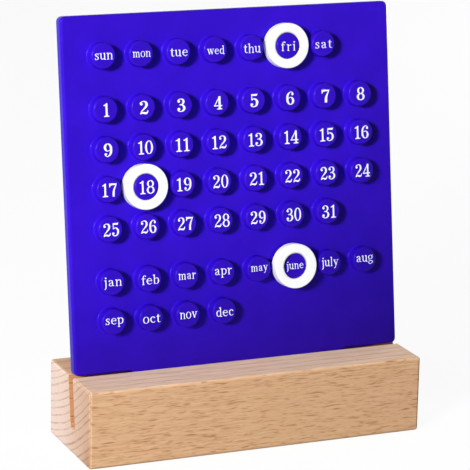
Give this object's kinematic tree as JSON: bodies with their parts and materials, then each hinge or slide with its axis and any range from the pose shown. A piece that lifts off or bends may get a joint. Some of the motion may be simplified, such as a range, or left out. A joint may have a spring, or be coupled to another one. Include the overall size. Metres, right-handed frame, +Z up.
{
  "type": "perpetual desk calendar",
  "caption": "Upright moulded panel of round studs for days, dates and months, standing in a slotted wooden block, with loose rings that mark the current day, date and month.",
  "frame": {"origin": "centre of the block's footprint, on the surface that it stands on", "axes": "+X along the block to the reader's right, +Y from the reader to the back, +Z up; the block's front face is its -Y face and the panel leans back towards +Y"},
  "size_m": [0.181, 0.06, 0.2172],
  "materials": {
    "beech": "fine sanded, oiled",
    "blue_moulding": "satin",
    "white_moulding": "satin"
  },
  "bodies": {
    "base": {"base_block": "beech"},
    "panel": {"panel": "blue_moulding"},
    "day_ring": {"day_ring": "white_moulding"},
    "date_ring": {"date_ring": "white_moulding"},
    "month_ring": {"month_ring": "white_moulding"}
  },
  "joints": [
    {"name": "panel_lift", "type": "slide", "parent": "base", "child": "panel", "axis": [0, 0.1392, 0.9903], "range_m": [0, 0.045]},
    {"name": "day_ring_pull", "type": "slide", "parent": "panel", "child": "day_ring", "axis": [0, -0.9903, 0.1392], "range_m": [0, 0.02]},
    {"name": "date_ring_pull", "type": "slide", "parent": "panel", "child": "date_ring", "axis": [0, -0.9903, 0.1392], "range_m": [0, 0.02]},
    {"name": "month_ring_pull", "type": "slide", "parent": "panel", "child": "month_ring", "axis": [0, -0.9903, 0.1392], "range_m": [0, 0.02]}
  ]
}
